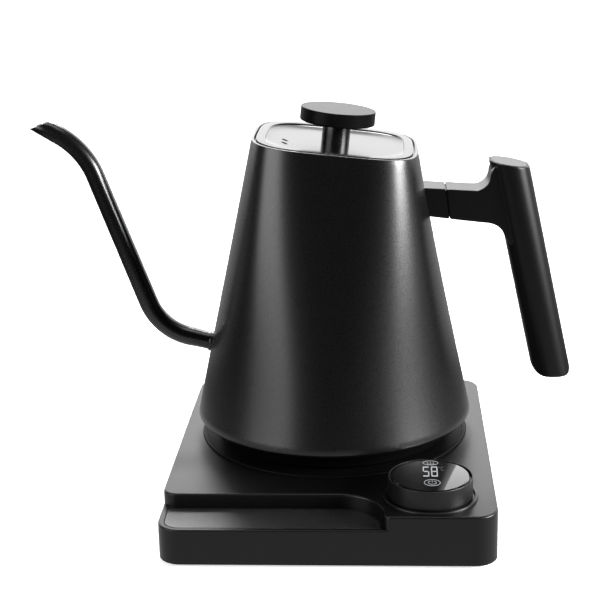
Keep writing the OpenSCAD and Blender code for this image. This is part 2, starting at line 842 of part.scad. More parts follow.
// Everything between two heights over the slanted top plane of the grip.
module top_slab(from, to) {
  translate([grip_top_l[0], 0, grip_top_l[1]]) rotate([0, 9.6, 0])
    translate([-20, -40, from]) cube([80, 80, to - from]);
}

// The steel bar inside the bracket, the arm and the head of the grip.
module core_bar(g) {
  translate([53, -4.5 - g, 148.6 - g]) cube([37, 9 + 2 * g, 6.5 + 2 * g]);
}

screw_x = [56, 84];

module handle_core() {
  color([0.62, 0.62, 0.64])
  difference() {
    core_bar(0);
    for (x = screw_x) {
      translate([x, 0, 120]) cylinder(h = 60, r = 1.3, $fn = fn);
    }
  }
}

module handle_screws() {
  color([0.6, 0.6, 0.6])
  for (x = screw_x) {
    translate([x, 0, 146.6]) cylinder(h = 9.4, r = 1.2, $fn = fn);
  }
}

module handle_weight() {
  color([0.62, 0.62, 0.64])
  grip_bar(8, 8.1, -40, 20);
}

module handle_top_cap() {
  color([0.09, 0.09, 0.09])
  intersection() {
    grip_bar(grip_t - 2.3, grip_d - 2.3, 20, 90);
    top_slab(-1.3, 0);
  }
}

// ---- lid -----------------------------------------------------------------

// Frame of the slanted mouth: origin at its middle, +Z along its normal.
module mouth_frame() {
  translate([mouth_x, 0, mouth_z]) rotate([0, mouth_tilt, 0]) children();
}

module lid_outline(d) {
  polygon(squarish_points((mouth_a - d) / cos(mouth_tilt), mouth_a * 1.045 - d, mouth_n, 64));
}

// A vent slot through the lid with round ends, 6.2 long and 1.5 wide.
module vent_slot(x, y) {
  translate([x, y, -6]) rotate([0, 0, -61]) union() {
    translate([-2.35, -0.75, 0]) cube([4.7, 1.5, 10]);
    for (end = [-2.35, 2.35]) {
      translate([end, 0, 0]) cylinder(h = 10, r = 0.75, $fn = fn);
    }
  }
}

module lid_pan() {
  color([0.12, 0.12, 0.12])
  mouth_frame() difference() {
    union() {
      translate([0, 0, -2.3]) linear_extrude(2.6) lid_outline(2.3);
      translate([0, 0, -3.4]) linear_extrude(2) lid_outline(5.4);
    }
    translate([0, 0, -1.2]) linear_extrude(4) lid_outline(7.6);
    vent_slot(-25.4, -8.5);
    vent_slot(-25.1, -16.8);
    translate([0, 0, -6]) cylinder(h = 10, r = 2.1, $fn = fn);
  }
}

module lid_skirt() {
  color([0.7, 0.7, 0.7])
  mouth_frame() difference() {
    translate([0, 0, -14]) linear_extrude(10.6) lid_outline(6.2);
    translate([0, 0, -15]) linear_extrude(12.6) lid_outline(7.2);
  }
}

module lid_gasket() {
  color([0.05, 0.05, 0.05])
  mouth_frame() difference() {
    translate([0, 0, -9.4]) linear_extrude(2.2) lid_outline(5.0);
    translate([0, 0, -15]) linear_extrude(12.6) lid_outline(6.2);
  }
}

module lid_stem() {
  color([0.07, 0.07, 0.07])
  mouth_frame() difference() {
    translate([0, 0, -1.2]) cylinder(h = 10.4, r = lid_stem_r, $fn = fn);
    translate([0, 0, -6]) cylinder(h = 30, r = 2.1, $fn = fn);
  }
}

module lid_knob() {
  color([0.09, 0.09, 0.09])
  mouth_frame() difference() {
    union() {
      translate([0, 0, 9.2]) cylinder(h = 0.6, r1 = lid_knob_r - 0.6, r2 = lid_knob_r, $fn = fn);
      translate([0, 0, 9.8]) cylinder(h = lid_knob_h - 1, r = lid_knob_r, $fn = fn);
      translate([0, 0, 8.8 + lid_knob_h]) cylinder(h = 0.4, r1 = lid_knob_r, r2 = lid_knob_r - 0.4, $fn = fn);
    }
    translate([0, 0, 9]) cylinder(h = 5, r = 2.05, $fn = fn);
  }
}

module lid_screw() {
  color([0.6, 0.6, 0.6])
  mouth_frame() union() {
    translate([0, 0, -5]) cylinder(h = 1.6, r = 4, $fn = fn);
    translate([0, 0, -3.6]) cylinder(h = 17, r = 2, $fn = fn);
  }
}

// ---- nodes ---------------------------------------------------------------

base_shell();
shelf_panel();
seat_plate();
base_bottom_cover();
base_feet();
base_screws();
cord_gland();
base_connector();
base_contacts();
main_board();
power_parts();
display_board();
display_module();
display_glass();
display_digits();
display_icons();
knob_collar();
control_knob();
kettle_connector();
connector_pin();
kettle_body();
bottom_plate();
heat_spreader();
heating_element();
temperature_sensor();
thermal_cutout();
bottom_cover();
bottom_screws();
bottom_seal();
spout();
spout_collar();
handle_bracket();
handle_grip();
handle_core();
handle_top_cap();
handle_weight();
handle_screws();
lid_pan();
lid_skirt();
lid_gasket();
lid_stem();
lid_knob();
lid_screw();
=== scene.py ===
"""Electric gooseneck kettle on its power base.

Shapes are built in millimetres and become metres in solid_mesh.
Camera, lights, floor and materials are in metres.
"""

import math

import bmesh
import bpy
from mathutils import Matrix, Vector
from mathutils.geometry import tessellate_polygon


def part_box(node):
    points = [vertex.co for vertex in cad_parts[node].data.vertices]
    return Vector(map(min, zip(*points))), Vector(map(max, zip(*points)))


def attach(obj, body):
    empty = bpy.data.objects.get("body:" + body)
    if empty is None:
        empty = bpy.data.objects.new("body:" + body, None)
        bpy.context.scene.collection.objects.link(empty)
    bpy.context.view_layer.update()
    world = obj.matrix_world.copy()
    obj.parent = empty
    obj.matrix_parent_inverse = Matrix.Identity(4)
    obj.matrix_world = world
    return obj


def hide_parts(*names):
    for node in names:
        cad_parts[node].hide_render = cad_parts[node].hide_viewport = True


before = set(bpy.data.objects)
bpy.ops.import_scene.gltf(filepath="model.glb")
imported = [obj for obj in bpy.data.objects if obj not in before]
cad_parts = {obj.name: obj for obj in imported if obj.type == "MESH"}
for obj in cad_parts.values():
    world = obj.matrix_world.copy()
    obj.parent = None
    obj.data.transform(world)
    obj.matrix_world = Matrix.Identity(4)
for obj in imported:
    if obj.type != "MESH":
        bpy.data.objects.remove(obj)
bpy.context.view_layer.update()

MM = 0.001
scene = bpy.context.scene


def add_object(name, data):
    """Puts a new object with this data into the scene."""
    obj = bpy.data.objects.new(name, data)
    scene.collection.objects.link(obj)
    return obj


# ---- camera ---------------------------------------------------------------

LENS = 87.6
SENSOR_WIDTH = 36.0
CAMERA_AT = Vector((0.03097, -0.74166, 0.31731))
CAMERA_RIGHT = Vector((0.99805, 0.05800, -0.02276))
CAMERA_UP = Vector((0.00540, 0.28355, 0.95895))


def make_camera():
    """The camera of the picture: from the front, a little to the right, looking down by 16 degrees."""
    data = bpy.data.cameras.new("view_camera")
    data.lens = LENS
    data.sensor_width = SENSOR_WIDTH
    data.clip_start = 0.05
    data.clip_end = 60.0
    cam = add_object("view_camera", data)
    back = CAMERA_RIGHT.cross(CAMERA_UP)
    place = Matrix((CAMERA_RIGHT, CAMERA_UP, back)).transposed().to_4x4()
    place.translation = CAMERA_AT
    cam.matrix_world = place
    scene.camera = cam


make_camera()


# ---- flat outlines ----------------------------------------------------------

# Keeps the step of a very sharp corner short when an outline is moved inward.
SHARPEST = 0.2


def fillet(points, steps=5):
    """Rounds the corners of a closed flat path. Each point is (x, y, radius)."""
    out = []
    count = len(points)
    for i, (x, y, r) in enumerate(points):
        if r <= 0:
            out.append((x, y))
            continue
        p = Vector((x, y))
        a = Vector(points[i - 1][:2]) - p
        b = Vector(points[(i + 1) % count][:2]) - p
        a.normalize()
        b.normalize()
        half = a.angle(b) / 2
        centre = p + (a + b).normalized() * (r / math.sin(half))
        first = p + a * (r / math.tan(half)) - centre
        last = p + b * (r / math.tan(half)) - centre
        a0 = math.atan2(first.y, first.x)
        turn = math.atan2(last.y, last.x) - a0
        turn = (turn + math.pi) % (2 * math.pi) - math.pi
        for k in range(steps + 1):
            t = a0 + turn * k / steps
            out.append((centre.x + r * math.cos(t), centre.y + r * math.sin(t)))
    return out


def arc(cx, cy, r, a0, a1, steps):
    """Points on a circle from angle a0 to a1 in degrees."""
    span = [math.radians(a0 + (a1 - a0) * k / steps) for k in range(steps + 1)]
    return [(cx + r * math.cos(t), cy + r * math.sin(t)) for t in span]


def circle(r, count):
    """A closed circle round the origin, anticlockwise."""
    return arc(0, 0, r, 0, 360, count)[:-1]


def quarter(r):
    """Pairs of (inward distance, drop) along a quarter round, from the side to the top."""
    steps = 4
    turns = [math.radians(90 * k / steps) for k in range(steps + 1)]
    return [(r - r * math.cos(t), r - r * math.sin(t)) for t in turns]


def inset(points, d):
    """Moves an anticlockwise outline inward by d, or by one distance for each point."""
    count = len(points)
    moved = []
    for i, p in enumerate(points):
        step = d[i] if isinstance(d, list) else d
        a = Vector(p) - Vector(points[i - 1])
        b = Vector(points[(i + 1) % count]) - Vector(p)
        na = Vector((-a.y, a.x)).normalized()
        nb = Vector((-b.y, b.x)).normalized()
        n = na + nb
        n = n / max(n.dot(na), SHARPEST)
        moved.append((p[0] + n.x * step, p[1] + n.y * step))
    return moved


def lift(points, z):
    """Puts flat points at one height."""
    return [(x, y, z) for x, y in points]


# ---- meshes and pieces --------------------------------------------------------

# A profile's point counts as lying on the axis below ON_AXIS, in millimetres.
# MERGE is in metres, and SHARP_ANGLE in degrees.
ON_AXIS = 1e-6
MERGE = 1e-6
SHARP_ANGLE = 35


class Shape:
    """Vertices and faces that grow ring by ring. A mark is the number of a face's material."""

    def __init__(self, matrix=None):
        self.verts = []
        self.faces = []
        self.marks = []
        self.matrix = matrix or Matrix.Identity(4)

    def ring(self, points):
        """Adds a ring of 3-D points and returns its vertex numbers."""
        start = len(self.verts)
        self.verts += [tuple(self.matrix @ Vector(p)) for p in points]
        return list(range(start, len(self.verts)))

    def band(self, a, b, mark=0):
        """Joins two rings of the same length, or a ring and a single point. Two points make no face."""
        count = max(len(a), len(b))
        if count == 1:
            return
        for i in range(count):
            j = (i + 1) % count
            if len(a) == 1:
                face = (a[0], b[j], b[i])
            elif len(b) == 1:
                face = (a[i], a[j], b[0])
            else:
                face = (a[i], a[j], b[j], b[i])
            self.faces.append(face)
            self.marks.append(mark)

    def cap(self, outer, holes=()):
        """Fills a flat ring of vertices, leaving out the holes."""
        loops = [outer] + list(holes)
        flat = [v for loop in loops for v in loop]
        for tri in tessellate_polygon([[Vector(self.verts[v]) for v in loop] for loop in loops]):
            self.faces.append(tuple(flat[k] for k in tri))
            self.marks.append(0)

    def loft(self, rings, mark=0):
        """Joins a list of rings in order and returns their vertex numbers."""
        made = [self.ring(points) for points in rings]
        for a, b in zip(made, made[1:]):
            self.band(a, b, mark)
        return made

    def solid(self, rings):
        """Joins a list of rings in order and fills the first and the last."""
        made = self.loft(rings)
        self.cap(made[0])
        self.cap(made[-1])

    def loop(self, rings):
        """Joins a list of rings in order, and the last to the first."""
        made = self.loft(rings)
        self.band(made[-1], made[0])

    def lathe(self, profile, count):
        """Turns a closed profile of (radius, height) round the axis."""
        self.loop([lift(circle(r, count), z) if r > ON_AXIS else [(0, 0, z)] for r, z in profile])


def solid_mesh(name, shape, materials=()):
    """A mesh in metres, with doubled vertices merged and all faces pointing outward."""
    mesh = bpy.data.meshes.new(name)
    mesh.from_pydata([(x * MM, y * MM, z * MM) for x, y, z in shape.verts], [], shape.faces)
    for material in materials:
        mesh.materials.append(material)
    mesh.polygons.foreach_set("material_index", shape.marks)
    build = bmesh.new()
    build.from_mesh(mesh)
    bmesh.ops.remove_doubles(build, verts=build.verts, dist=MERGE)
    bmesh.ops.recalc_face_normals(build, faces=build.faces)
    build.to_mesh(mesh)
    build.free()
    return mesh


def smooth(mesh):
    """Shades every face smooth."""
    mesh.polygons.foreach_set("use_smooth", [True] * len(mesh.polygons))


def hand_over(piece, body, node):
    """Puts a piece on the body it rides on and hides the node it stands for."""
    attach(piece, body)
    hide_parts(node)


def add_piece(name, shape, body, node, materials, weighted=True):
    """Makes a Blender object from a shape and hands it to the frame."""
    mesh = solid_mesh(name, shape, materials)
    smooth(mesh)
    mesh.set_sharp_from_angle(angle=math.radians(SHARP_ANGLE))
    piece = add_object(name, mesh)
    if weighted:
        even = piece.modifiers.new("even_normals", "WEIGHTED_NORMAL")
        even.keep_sharp = True
        even.weight = 50
    hand_over(piece, body, node)


def turned(name, points, matrix, body, node, material, count=96, steps=5):
    """A turned piece from a profile of (radius, height, corner radius)."""
    shape = Shape(matrix)
    shape.lathe(fillet(points, steps), count)
    add_piece(name, shape, body, node, [material])


def from_box(node):
    """A node's corners in millimetres."""
    low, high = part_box(node)
    return low / MM, high / MM


# ---- materials --------------------------------------------------------------

# Finishes: noise scales are per metre. The specks take over where their noise is high.
COAT_ROUGH = 0.04
BLOTCH_SCALE = 28.0
SPECK_SCALE = 1.7
SPECK_FROM = 0.62
SPECK_FULL = 0.74

# Lit figures: colour, the share that is left of a dim one, and unevenness.
# NOWHERE, in metres, is further right than any figure.
LIT = (0.9, 0.92, 0.96)
DIMMED = 0.1
UNEVEN_SCALE = 700.0
UNEVEN = 0.15
NOWHERE = 1.0


def plug(tree, node, values):
    """Sets a node's inputs. Each value is a number, a colour or another node's output."""
    for socket, value in values.items():
        if isinstance(value, bpy.types.NodeSocket):
            tree.links.new(value, node.inputs[socket])
        else:
            node.inputs[socket].default_value = value


def add_node(tree, kind, values=None, **settings):
    """Adds a node with these inputs and settings."""
    made = tree.nodes.new("ShaderNode" + kind)
    for key, value in settings.items():
        setattr(made, key, value)
    plug(tree, made, values or {})
    return made


def ramp(tree, source, x0, x1, y0, y1, kind="LINEAR"):
    """Maps x0..x1 to y0..y1 and holds the ends."""
    values = {"Value": source, "From Min": x0, "From Max": x1, "To Min": y0, "To Max": y1}
    return add_node(tree, "MapRange", values, interpolation_type=kind).outputs["Result"]


def calculate(tree, operation, a, b):
    """One operation on two numbers or outputs."""
    return add_node(tree, "Math", {0: a, 1: b}, operation=operation).outputs["Value"]


def mix_colours(tree, factor, a, b):
    """The mix of two colours, each a colour or another node's output."""
    values = {"Factor": factor, "A": a, "B": b}
    return add_node(tree, "Mix", values, data_type="RGBA").outputs["Result"]


def grey(v):
    """A neutral colour."""
    return (v, v, v)


def scaled(colour, factor):
    """A brighter or darker colour, opaque."""
    return (*[min(1.0, c * factor) for c in colour], 1.0)


def new_material(name):
    """A material with nodes, and its tree."""
    material = bpy.data.materials.new(name)
    material.use_nodes = True
    return material, material.node_tree


def surface(name, colour, rough, metal=0.0, spec=0.5, coat=0.0, grain=1800.0, depth=0.000004,
            mottle=0.12, vary=0.04, stretch=(1.0, 1.0, 1.0), sparkle=0.0):
    """A finish with fine grain, uneven gloss and slight colour variation.

    grain is the scale of the fine noise and depth its height in metres. mottle and vary are the spread of
    the colour and of the roughness, stretch squeezes the noise along the axes, and sparkle is the grey of
    the specks.
    """
    material, tree = new_material(name)
    place = add_node(tree, "TexCoord")
    spread = add_node(tree, "Mapping", {"Scale": stretch, "Vector": place.outputs["Object"]})

    def noise(size, detail, rough_value=0.5):
        """One noise pattern over the object."""
        values = {"Scale": size, "Detail": detail, "Roughness": rough_value,
                  "Vector": spread.outputs["Vector"]}
        return add_node(tree, "TexNoise", values).outputs["Fac"]

    fine = noise(grain, 2.0, 0.6)
    base = mix_colours(tree, noise(BLOTCH_SCALE, 3.0), scaled(colour, 1 - mottle), scaled(colour, 1 + mottle))
    if sparkle > 0:
        specks = ramp(tree, noise(grain * SPECK_SCALE, 0.0), SPECK_FROM, SPECK_FULL, 0.0, 1.0)
        base = mix_colours(tree, specks, base, scaled(grey(sparkle), 1))
    gloss = ramp(tree, fine, 0.3, 0.7, max(0.02, rough - vary), min(1.0, rough + vary))
    bump = add_node(tree, "Bump", {"Strength": 1.0, "Distance": depth, "Height": fine})
    plug(tree, tree.nodes["Principled BSDF"], {
        "Metallic": metal, "Specular IOR Level": spec, "Coat Weight": coat, "Coat Roughness": COAT_ROUGH,
        "Base Color": base, "Roughness": gloss, "Normal": bump.outputs["Normal"]})
    return material


paint = surface("satin_black_paint", grey(0.0006), 0.30, grain=2600.0, depth=0.000006, vary=0.05)
spout_paint = surface("gloss_black_paint", grey(0.002), 0.26, grain=2200.0, depth=0.000003)
lid_paint = surface("semi_gloss_black", grey(0.003), 0.17, spec=0.135, grain=2200.0, depth=0.000003)
disc_paint = surface("disc_satin_black", grey(0.003), 0.3, spec=0.04, grain=2200.0, depth=0.000003)
handle_plastic = surface("handle_plastic", grey(0.003), 0.34, spec=0.16, grain=1900.0, depth=0.000003)
base_plastic = surface("base_satin_plastic", grey(0.0008), 0.37, spec=0.27, grain=2400.0, depth=0.000007)
shelf_grain = surface("shelf_fine_grain", grey(0.001), 0.46, spec=0.6, grain=1300.0, depth=0.000014,
                      sparkle=0.03)
seat_plastic = surface("seat_matt_plastic", grey(0.002), 0.45, spec=0.05, grain=2000.0)
cover_plastic = surface("cover_matt_plastic", grey(0.0015), 0.6, spec=0.15, grain=1500.0, depth=0.00001)
under_matt = surface("underside_matt_black", grey(0.0006), 0.85, spec=0.02, grain=1500.0, depth=0.00001)
dial_metal = surface("dial_satin_black", grey(0.0015), 0.4, spec=0.32, grain=2600.0, depth=0.000004,
                     stretch=(1.0, 1.0, 0.15))
glass = surface("display_glass", grey(0.002), 0.05, spec=0.3, grain=300.0, depth=0.0000005, vary=0.01,
                coat=0.46)
rubber = surface("foot_rubber", grey(0.02), 0.85, grain=900.0, depth=0.00002)
silicone = surface("seal_silicone", grey(0.05), 0.6, grain=900.0)
steel = surface("brushed_steel", grey(0.62), 0.26, metal=1.0, grain=900.0, depth=0.000004,
                stretch=(1.0, 1.0, 14.0), mottle=0.05, vary=0.07)
core_steel = surface("bar_steel", grey(0.5), 0.35, metal=1.0, stretch=(0.05, 1.0, 1.0))
screw_steel = surface("screw_steel", grey(0.55), 0.3, metal=1.0, grain=1200.0)
brass = surface("contact_brass", (0.78, 0.55, 0.2), 0.28, metal=1.0, grain=1200.0)
board = surface("board_green", (0.02, 0.12, 0.045), 0.35, grain=500.0, depth=0.00002, mottle=0.4)
blue_part = surface("power_part_blue", (0.05, 0.11, 0.32), 0.35, grain=700.0)
heater_alu = surface("heater_aluminium", grey(0.6), 0.45, metal=1.0, grain=700.0, depth=0.00001)
heater_tube = surface("heater_tube", grey(0.35), 0.4, metal=1.0, grain=700.0, mottle=0.3)
ceramic = surface("ceramic_white", (0.75, 0.72, 0.65), 0.5, grain=700.0, depth=0.00001)


def lit_glyphs(name, strength, dim_from):
    """Lit figures in the glass, slightly uneven. Figures further right than dim_from are dimmer."""
    material = surface(name, grey(0.004), 0.3, spec=0.3, grain=900.0)
    tree = material.node_tree
    place = add_node(tree, "TexCoord").outputs["Object"]
    across = add_node(tree, "SeparateXYZ", {"Vector": place}).outputs["X"]
    dimmer = calculate(tree, "GREATER_THAN", across, dim_from)
    uneven = add_node(tree, "TexNoise", {"Scale": UNEVEN_SCALE, "Vector": place}).outputs["Fac"]
    plug(tree, tree.nodes["Principled BSDF"], {
        "Emission Color": mix_colours(tree, dimmer, scaled(LIT, 1), scaled(LIT, DIMMED)),
        "Emission Strength": ramp(tree, uneven, 0.0, 1.0, strength * (1 - UNEVEN), strength * (1 + UNEVEN))})
    return material


knob_low, knob_high = from_box("control_knob")
KNOB_AT = (knob_low + knob_high) / 2
LAST_FIGURE = KNOB_AT.x + 3.8
digit_mat = lit_glyphs("lit_figures", 0.6, LAST_FIGURE * MM)
icon_mat = lit_glyphs("lit_icons", 0.4, NOWHERE)

CAD_FINISH = {
    "base_bottom_cover": cover_plastic,
    "base_feet": rubber,
    "base_screws": screw_steel,
    "cord_gland": rubber,
    "base_connector": cover_plastic,
    "base_contacts": brass,
    "main_board": board,
    "power_parts": blue_part,
    "display_board": board,
    "display_module": cover_plastic,
    "display_digits": digit_mat,
    "display_icons": icon_mat,
    "kettle_connector": cover_plastic,
    "connector_pin": brass,
    "bottom_plate": steel,
    "heat_spreader": heater_alu,
    "heating_element": heater_tube,
    "temperature_sensor": steel,
    "thermal_cutout": ceramic,
    "bottom_cover": under_matt,
    "bottom_screws": screw_steel,
    "bottom_seal": silicone,
    "handle_core": core_steel,
    "handle_weight": core_steel,
    "handle_screws": screw_steel,
    "lid_skirt": steel,
    "lid_gasket": silicone,
    "lid_screw": screw_steel,
}
for node_name, finish in CAD_FINISH.items():
    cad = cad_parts[node_name]
    if not cad.material_slots:
        cad.data.materials.append(finish)
    for holder in cad.material_slots:
        holder.material = finish


# ---- base -------------------------------------------------------------------

base_low, base_high = from_box("base_shell")
seat_low, seat_high = from_box("seat_plate")
HALF_W = base_high.x
FRONT = base_low.y
BACK = base_high.y
DECK = base_high.z
SHELL_FOOT = base_low.z
SEAT_R = seat_high.x
SHELL_WALL = 2.4
FOOT_EDGE = 0.3
SHELF = 19.7
SHELF_EDGE = 0.8
DECK_EDGE = 1.0
CORNER = 11.0
CORNER_X = HALF_W - CORNER
DECK_CORNER = 7.0

# The raised part ends in a quarter circle round this point, beside the low shelf.
CURVE_X = 5.5
CURVE_Y = -112.6
CURVE_R = 22.0
STEP_Y = CURVE_Y + CURVE_R
SIDE_X = CURVE_X + CURVE_R
FRONT_R = 3.0

# Margins of the shelf's recess: to the left edge, to the front and to the raised part.
LEFT_MARGIN = 3.0
FRONT_MARGIN = 2.2
STEP_MARGIN = 1.6
RECESS = 1.2
RECESS_EDGE = 0.15

# The rim of the seat's hole: (gap round the seat plate, depth below the deck).
SEAT_RIM = [(0.5, 0.0), (0.29, 0.09), (0.2, 0.3)]
SEAT_COUNT = 128

# The wall's rings are kept this far apart where its top edge isn't rounded.
# Merged vertices would bend its shading.
APART = 0.004


def plan_corner(x, y, start):
    """One of the four outer corners of the base, from the angle start."""
    return arc(x, y, CORNER, start, start + 90, 12)


def deck_outline():
    """Plan of the raised part of the base, anticlockwise. Some points lie along the straight edges."""
    pts = [(-HALF_W, STEP_Y + 40), (-HALF_W, STEP_Y + 10)]
    pts += arc(-HALF_W + DECK_CORNER, STEP_Y + DECK_CORNER, DECK_CORNER, 180, 270, 10)
    pts += [(-60, STEP_Y), (-30, STEP_Y)]
    pts += arc(CURVE_X, CURVE_Y, CURVE_R, 90, 0, 24)
    pts += arc(SIDE_X + FRONT_R, FRONT + FRONT_R, FRONT_R, 180, 270, 8)
    pts += plan_corner(CORNER_X, FRONT + CORNER, 270)
    pts += [(HALF_W, -40), (HALF_W, 20)]
    pts += plan_corner(CORNER_X, BACK - CORNER, 0)
    pts += plan_corner(-CORNER_X, BACK - CORNER, 90)
    return pts


def foot_outline():
    """Plan of the whole base, anticlockwise, and which points lie beside the low shelf."""
    step_end = STEP_Y + DECK_CORNER
    pts = [(-HALF_W, STEP_Y + 40), (-HALF_W, step_end + 1), (-HALF_W, step_end - 0.1)]
    pts += plan_corner(-CORNER_X, FRONT + CORNER, 180)
    pts += [(-30, FRONT), (0, FRONT), (SIDE_X - 0.1, FRONT), (SIDE_X + FRONT_R, FRONT)]
    pts += plan_corner(CORNER_X, FRONT + CORNER, 270)
    pts += plan_corner(CORNER_X, BACK - CORNER, 0)
    pts += plan_corner(-CORNER_X, BACK - CORNER, 90)
    beside = [p[1] < step_end and p[0] < SIDE_X for p in pts]
    return pts, beside


def shelf_hole(d):
    """Plan of the recess that holds the shelf panel, anticlockwise, shrunk by d."""
    r = CURVE_R - STEP_MARGIN - d
    x0 = -HALF_W + LEFT_MARGIN + d
    y0 = FRONT + FRONT_MARGIN + d
    near = CORNER - LEFT_MARGIN - d
    pts = arc(x0 + near, y0 + near, near, 180, 270, 8) + [(CURVE_X + r, y0)]
    pts += arc(CURVE_X, CURVE_Y, r, 0, 90, 20)
    pts += [(x0, CURVE_Y + r)]
    return pts


def add_shelf_part(shape):
    """The whole foot of the shell up to the shelf, with the recess for the panel."""
    outline, beside = foot_outline()
    inner = inset(outline, SHELL_WALL)
    rings = [lift(inner, SHELF - SHELL_WALL), lift(inner, SHELL_FOOT),
             lift(inset(outline, FOOT_EDGE), SHELL_FOOT), lift(outline, SHELL_FOOT + FOOT_EDGE)]
    edge = quarter(SHELF_EDGE)
    for k, (side, drop) in enumerate(edge):
        flat = inset(outline, [side if b else 0.0 for b in beside])
        still = APART * (len(edge) - 1 - k)
        rings.append([(p[0], p[1], SHELF - (drop if b else still)) for p, b in zip(flat, beside)])
    made = shape.loft(rings)
    shape.cap(made[0])
    hole = shape.loft([lift(shelf_hole(-RECESS_EDGE), SHELF), lift(shelf_hole(0), SHELF - RECESS_EDGE),
                       lift(shelf_hole(0), SHELF - RECESS)])
    shape.cap(made[-1], [hole[0]])
    shape.cap(hole[-1])


def add_deck_part(shape):
    """The raised part of the shell, with the round recess for the seat plate."""
    deck = deck_outline()
    inner = inset(deck, SHELL_WALL)
    rings = [lift(inner, DECK - SHELL_WALL), lift(inner, SHELF), lift(deck, SHELF)]
    rings += [lift(inset(deck, side), DECK - drop) for side, drop in quarter(DECK_EDGE)]
    made = shape.loft(rings)
    shape.cap(made[0])
    rings = [lift(circle(SEAT_R + gap, SEAT_COUNT), DECK - depth) for gap, depth in SEAT_RIM]
    seat = shape.loft(rings + [lift(circle(SEAT_R + SEAT_RIM[-1][0], SEAT_COUNT), seat_low.z)])
    shape.cap(made[-1], [seat[0]])
    shape.cap(seat[-1])


def make_base():
    """The top shell: outer walls, rounded edges, shelf recess and seat recess."""
    shape = Shape()
    add_shelf_part(shape)
    add_deck_part(shape)
    add_piece("base_top_shell", shape, "base", "base_shell", [base_plastic])


def make_shelf():
    """The thin panel that lies in the recess of the low shelf."""
    low, high = from_box("shelf_panel")
    levels = [(0.25, low.z), (0.25, high.z - 0.2), (0.3, high.z - 0.06), (0.45, high.z)]
    shape = Shape()
    shape.solid([lift(shelf_hole(gap), z) for gap, z in levels])
    add_piece("shelf_plate", shape, "base", "shelf_panel", [shelf_grain])


make_base()
make_shelf()


# ---- turned pieces of the base ------------------------------------------------

UPRIGHT = Matrix.Identity(4)
KNOB_AXIS = Matrix.Translation((KNOB_AT.x, KNOB_AT.y, 0))
KNOB_LOW = knob_low.z
KNOB_TOP = knob_high.z
KNOB_R = (knob_high.x - knob_low.x) / 2
KNOB_BORE = 18.0
KNOB_LIP = 0.6
KNOB_SINK = 1.8
glass_low, glass_high = from_box("display_glass")
collar_low, collar_high = from_box("knob_collar")
GLASS_R = (glass_high.x - glass_low.x) / 2
GLASS_BALL = 356.0
GLASS_EDGE = 0.45
GLASS_DROP = 0.92
COLLAR_R = (collar_high.x - collar_low.x) / 2
COLLAR_INNER = COLLAR_R - 1.6
SEAT_BORE = 12.4
SEAT_SINK = 0.4

turned("seat_disc",
       [(SEAT_BORE, seat_low.z, 0), (SEAT_R, seat_low.z, 0), (SEAT_R, seat_high.z, 0.5),
        (SEAT_R - 1.8, seat_high.z, 0.3), (SEAT_R - 2.2, seat_high.z - SEAT_SINK, 0.3),
        (SEAT_BORE, seat_high.z - SEAT_SINK, 0.2)],
       UPRIGHT, "base", "seat_plate", seat_plastic, count=160)
turned("dial_collar",
       [(COLLAR_INNER, collar_low.z, 0), (COLLAR_R, collar_low.z, 0),
        (COLLAR_R, collar_high.z, 0.7), (COLLAR_INNER, collar_high.z, 0.35)],
       KNOB_AXIS, "base", "knob_collar", base_plastic)
turned("dial_ring",
       [(KNOB_BORE, KNOB_LOW, 0), (KNOB_R, KNOB_LOW, 0.3), (KNOB_R, KNOB_TOP, 0.25),
        (KNOB_R - KNOB_LIP, KNOB_TOP, 0.15), (KNOB_R - KNOB_LIP, KNOB_TOP - KNOB_SINK, 0),
        (KNOB_BORE, KNOB_TOP - KNOB_SINK, 0)],
       KNOB_AXIS, "dial", "control_knob", dial_metal, count=128)


def lens_profile():
    """Half section of the display glass: a flat foot and a shallow dome."""
    steps = 12
    points = [(0, glass_low.z, 0), (GLASS_R, glass_low.z, 0), (GLASS_R, glass_high.z - GLASS_DROP, 0.08)]
    for k in range(steps, -1, -1):
        r = (GLASS_R - GLASS_EDGE) * k / steps
        points.append((r, glass_high.z - GLASS_BALL + math.sqrt(GLASS_BALL * GLASS_BALL - r * r), 0))
    return points


turned("display_lens", lens_profile(), KNOB_AXIS, "base", "display_glass", glass, count=128)


# ---- kettle body ------------------------------------------------------------

FOOT_R = 72.8
FOOT_Z = 35.0
FOOT_ROUND = 2.0
FOOT_RISE = 2.4
FOOT_BORE = 60.0
MOUTH_A = 42.0
MOUTH_LONG = 1.045
MOUTH_X = 3.1
MOUTH_Z = 184.0
MOUTH_N = 3.8

# The mouth slopes down toward the handle, and the wall's rings lean more and more on the way up to it.
TILT = math.radians(6.4)
SLOPE = math.tan(TILT)
TILT_POWER = 2.8

# How far the wall bends in, how that differs above and below, and how far its middle drifts sideways.
WAIST = 1.72
SHOULDER = 0.75
DRIFT = 3.1
WALL = 1.2
WALL_Z = FOOT_Z + FOOT_RISE + FOOT_ROUND
WALL_H = MOUTH_Z - WALL_Z
SEGMENTS = 192
OUTER_STEPS = 46
INNER_STEPS = 30

# Steps of the mouth under its rolled rim: (inward distance, height over the mouth's plane).
RIM_OUTER = 0.3
RIM_INNER = 0.2
RIM_WIDTH = 1.4
LEDGE = [(RIM_WIDTH, -2.3), (1.7, -2.4), (4.4, -2.4), (4.6, -2.6)]
LEDGE_UNDER = [(4.6, -3.2), (1.5, -4.8)]


def squarish(a, b, n, count):
    """A rounded square of half sizes a and b. n = 2 gives an ellipse."""
    out = []
    for i in range(count):
        t = 2 * math.pi * i / count
        c = math.cos(t)
        s = math.sin(t)
        k = (abs(c) ** n + abs(s) ** n) ** (-1 / n)
        out.append((a * k * c, b * k * s))
    return out


def wall_a(u):
    """Half width of the body at height fraction u."""
    bow = u * (1 - u)
    return FOOT_R + (MOUTH_A - FOOT_R) * u - WAIST * bow + SHOULDER * bow * (1 - 2 * u)


